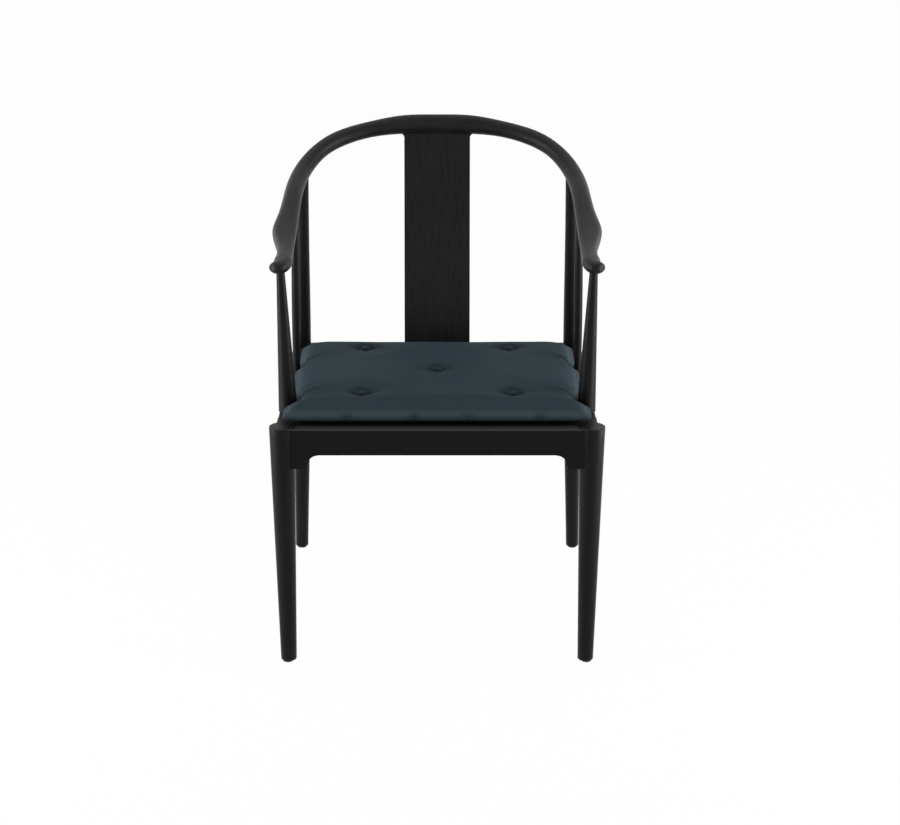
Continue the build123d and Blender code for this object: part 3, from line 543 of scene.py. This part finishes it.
def plump(pad, spots, posts):
    """Gives the boxy cut shape a pillow's section: it rises and falls away from the seam."""
    for vertex in pad.data.vertices:
        vertex.co = corner_point(vertex.co.copy())
    edge = [v.co.copy() for v in pad.data.vertices if abs(v.co.z - SEAM_Z) < 0.7 * VOXEL]
    seam = kdtree.KDTree(len(edge))
    for number, point in enumerate(edge):
        seam.insert((point.x, point.y, 0), number)
    seam.balance()
    under = SEAM_Z - SEAT_TOP - PAD_REST
    for vertex in pad.data.vertices:
        point = vertex.co.copy()
        inside = seam.find((point.x, point.y, 0))[2]
        if point.z > SEAM_Z:
            notch = max(math.exp(-(((point.y - foot.y) / NOTCH_REACH) ** 2)) for (foot, _), _ in posts)
            around = max(roll(inside, TOP_ROLL * (1 - NOTCH_STEEP * notch)), 0.001)
            behind = max(roll(PAD_HIGH.y - point.y, BACK_ROLL), 0.001)
            height = (TOP_Z - SEAM_Z) * (around ** -ROLL_MEET + behind ** -ROLL_MEET) ** (-1 / ROLL_MEET)
            for spot in spots:
                sunk = min(lens(point, spot) * DIMPLE_FLOOR, 1.0)
                height += (spot.z + BUTTON_REST - SEAM_Z - height) * sunk
            point.z = SEAM_Z + height
        else:
            point.z = SEAM_Z - under * roll(inside, UNDER_ROLL)
        vertex.co = point


def soften(piece, times):
    """Smooths a piece's mesh."""
    smooth = piece.modifiers.new("soften", "SMOOTH")
    smooth.factor = 0.5
    smooth.iterations = times
    bpy.ops.object.modifier_apply(modifier="soften")


def swell(pad, spots):
    """Fills the hide, held down at the buttons and flat underneath."""
    rest = [v.co.copy() for v in pad.data.vertices]
    held = pad.vertex_groups.new(name="held")
    for vertex in pad.data.vertices:
        grip = 1.0 - smoothly((vertex.co.z - SEAT_TOP - 0.001) / GRIP_FADE)
        grip = max(grip, 1.0 - smoothly((abs(vertex.co.z - SEAM_Z) - 0.002) / GRIP_FADE))
        for spot in spots:
            reach = math.hypot(vertex.co.x - spot.x, vertex.co.y - spot.y)
            grip = max(grip, 1.0 - smoothly((reach - BUTTON_GRIP) / BUTTON_GRIP))
        if grip > 0.02:
            held.add([vertex.index], grip, "REPLACE")
    cloth = pad.modifiers.new("stuffing", "CLOTH")
    cloth.settings.quality = 6
    cloth.settings.mass = HIDE_MASS
    cloth.settings.tension_stiffness = HIDE_STRETCH
    cloth.settings.compression_stiffness = HIDE_STRETCH
    cloth.settings.shear_stiffness = HIDE_SHEAR
    cloth.settings.bending_stiffness = HIDE_BEND
    cloth.settings.use_pressure = True
    cloth.settings.uniform_pressure_force = SWELL
    cloth.settings.vertex_group_mass = "held"
    cloth.settings.effector_weights.gravity = 0
    cloth.collision_settings.use_collision = False
    cloth.point_cache.frame_start = 1
    cloth.point_cache.frame_end = SWELL_STEPS
    for step in range(1, SWELL_STEPS + 1):
        bpy.context.scene.frame_set(step)
    bpy.ops.object.modifier_apply(modifier="stuffing")
    bpy.context.scene.frame_set(1)
    for vertex, start in zip(pad.data.vertices, rest):
        moved = vertex.co - start
        if moved.length > SWELL_CAP:
            vertex.co = start + moved.normalized() * SWELL_CAP
    pad.vertex_groups.clear()


def side_creases(point, posts):
    """1 in the middle of a crease that runs in from a notch, 0 away from it."""
    strongest = 0.0
    in_from_edge = PAD_HIGH.x - abs(point.x)
    if point.z > SEAM_Z + 0.002 and in_from_edge < SIDE_CREASE_LONG:
        for (foot, _), _ in posts:
            across = (point.y - foot.y - SIDE_CREASE_SLANT * in_from_edge) / SIDE_CREASE_WIDE
            fading = (1 - in_from_edge / SIDE_CREASE_LONG) ** 1.3
            strongest = max(strongest, fading * math.exp(-across ** 2))
    return strongest


def puckered(point):
    """1 in the middle of a gather along the front seam, 0 away from it."""
    if point.y > PAD_LOW.y + 0.02:
        return 0.0
    rise = math.exp(-(((point.z - SEAM_Z - PUCKER_RISE) / PUCKER_TALL) ** 2))
    return rise * max(math.exp(-(((point.x - place) / PUCKER_WIDE) ** 2)) for place in PUCKERS)


def dressed(point, normal, spots):
    """A point of the hide after the seam, its gathers and the folds through the buttons."""
    push = 0.0
    if point.z > SEAM_Z + TOP_START:
        for spot in spots:
            along = abs(point.x - spot.x)
            across = point.y - spot.y
            if along < CREASE_LONG and abs(across) < CREASE_REACH:
                taper = (1 - along / CREASE_LONG) ** 1.3
                width = 0.0032 + 0.004 * taper
                clear = smoothly((math.hypot(along, across) - CREASE_CLEAR) / CREASE_CLEAR)
                push += CREASE_DEEP * taper * clear * math.exp(-((across / width) ** 2))
    edge = smoothly(math.hypot(normal.x, normal.y) * 2 - 0.6)
    push -= SEAM_PROUD * edge * math.exp(-(((point.z - SEAM_Z) / SEAM_TALL) ** 2))
    push += SEAM_DEEP * edge * math.exp(-(((point.z - SEAM_Z) / SEAM_NARROW) ** 2))
    push += PUCKER_DEEP * puckered(point)
    push += UNEVEN * noise.noise(point * UNEVEN_SCALE)
    return point - normal * push


def covered_buttons(spots):
    """One button, modelled once, and a copy of it set down at each spot."""
    bpy.ops.object.select_all(action="DESELECT")
    bpy.ops.mesh.primitive_cylinder_add(
        vertices=40, radius=BUTTON_R * 0.86, depth=0.0020, location=(0, 0, 0.0010))
    first = bpy.context.object
    bpy.ops.object.mode_set(mode="EDIT")
    crown = ((0.0013, 0.0014), (0.0022, 0.0008), (0.0028, 0.0003))
    underside = ((0.0018, 0.0004),)
    for face_up, steps in ((1, crown), (-1, underside)):
        bpy.ops.mesh.select_all(action="DESELECT")
        bpy.ops.object.mode_set(mode="OBJECT")
        for face in first.data.polygons:
            face.select = face.normal.z * face_up > 0.9
        bpy.ops.object.mode_set(mode="EDIT")
        bpy.ops.mesh.select_mode(type="FACE")
        for inwards, rise in steps:
            bpy.ops.mesh.inset(thickness=inwards, depth=rise)
    bpy.ops.mesh.select_all(action="SELECT")
    bpy.ops.mesh.normals_make_consistent(inside=False)
    bpy.ops.object.mode_set(mode="OBJECT")
    rounder = first.modifiers.new("rounder", "SUBSURF")
    rounder.levels = 2
    rounder.render_levels = 2
    bpy.ops.object.modifier_apply(modifier="rounder")
    bpy.ops.object.transform_apply(location=True, rotation=True, scale=True)
    for vertex in first.data.vertices:
        turn = math.atan2(vertex.co.y, vertex.co.x)
        out = math.hypot(vertex.co.x, vertex.co.y) / BUTTON_R
        vertex.co.z -= 0.00022 * smoothly((out - 0.45) * 2) * (1 + math.sin(turn * 14))
    bpy.ops.object.shade_smooth()
    first.data.materials.append(SHADED_BUTTON_LEATHER)
    made = [first]
    for _ in spots[1:]:
        piece = first.copy()
        piece.data = first.data.copy()
        bpy.context.scene.collection.objects.link(piece)
        made.append(piece)
    for number, (piece, spot) in enumerate(zip(made, spots), 1):
        piece.name = "covered_button_%d" % number
        for vertex in piece.data.vertices:
            vertex.co += spot + Vector((0, 0, BUTTON_REST))
    return made


spots = button_spots()
pad = stuffed_pad(uprights(), spots)
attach(pad, "cushion")
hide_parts("cushion_cover", "cushion_core")
buttons = covered_buttons(spots)
for button in buttons:
    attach(button, "cushion")
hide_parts("tuft_buttons")


# ---- studio ------------------------------------------------------------------------------

def seen_directly(finish):
    """1 for a ray from the lens, a reflection or a ray through glass."""
    path = finish.node("ShaderNodeLightPath", {}, {})
    return path["Is Camera Ray"].at_least(path["Is Glossy Ray"]).at_least(path["Is Transmission Ray"])


bpy.ops.object.select_all(action="DESELECT")
bpy.ops.mesh.primitive_plane_add(size=40.0, location=(0, 0, 0))
floor = bpy.context.object
floor.name = "pale_floor"
ground = Finish("pale floor")
ground.surface({"Base Color": (0.6, 0.6, 0.6, 1), "Roughness": 0.9, "Specular IOR Level": 0.0})
glow = ground.node("ShaderNodeEmission", {}, {"Color": (1, 1, 1, 1), "Strength": 1.0})["Emission"]
matt = Line(ground, ground.tree.nodes["Principled BSDF"].outputs["BSDF"])
mixed = ground.node("ShaderNodeMixShader", {}, {0: seen_directly(ground) * FLOOR_GLOW, 1: matt, 2: glow})
ground.tree.links.new(mixed[0].socket, ground.tree.nodes["Material Output"].inputs["Surface"])
floor.data.materials.append(ground.owner)

world = bpy.data.worlds.new("white studio")
bpy.context.scene.world = world
room = Finish("white studio", world)
for old in list(room.tree.nodes):
    if old.bl_idname != "ShaderNodeOutputWorld":
        room.tree.nodes.remove(old)
strength = seen_directly(room).at_least(SKY)
sky = room.node("ShaderNodeBackground", {}, {"Color": (1, 1, 1, 1), "Strength": strength})
sky_end = [n for n in room.tree.nodes if n.bl_idname == "ShaderNodeOutputWorld"][0]
room.tree.links.new(sky["Background"].socket, sky_end.inputs["Surface"])


def lamp(name, place, aim, size, power):
    """A rectangular lamp that isn't seen itself."""
    bpy.ops.object.light_add(type="AREA", location=place)
    made = bpy.context.object
    made.name = name
    made.data.shape = "RECTANGLE"
    made.data.size, made.data.size_y = size
    made.data.energy = power
    made.rotation_euler = (Vector(aim) - Vector(place)).to_track_quat("-Z", "Y").to_euler()
    made.visible_camera = False


lamp("left softbox", (-2.2, -0.4, 1.05), (0, 0, 0.45), (1.5, 2.1), 50.0)
lamp("right softbox", (2.2, -0.4, 1.05), (0, 0, 0.45), (1.5, 2.1), 54.0)
lamp("left low strip", (-1.15, -0.45, 0.56), (0, 0, 0.40), (0.6, 1.1), 7.5)
lamp("right low strip", (1.15, -0.45, 0.56), (0, 0, 0.40), (0.6, 1.1), 8.5)
lamp("left rear softbox", (-2.0, 1.6, 1.2), (0, 0, 0.45), (0.8, 2.2), 14.0)
lamp("right rear softbox", (2.0, 1.6, 1.2), (0, 0, 0.45), (0.8, 2.2), 14.0)
lamp("top softbox", (0, 0.7, 2.8), (0, 0, 0.4), (2.2, 1.6), 13.0)

lens_data = bpy.data.cameras.new("lens")
lens_data.sensor_width = 36.0
lens_data.lens = 98.58
lens_data.shift_x = 0.0143
lens_data.clip_end = 60.0
viewer = bpy.data.objects.new("viewer", lens_data)
bpy.context.scene.collection.objects.link(viewer)
viewer.location = (0, -4.0346, 1.7321)
viewer.rotation_euler = (math.radians(71.114), 0, 0)
bpy.context.scene.camera = viewer
bpy.context.scene.view_settings.view_transform = "Standard"
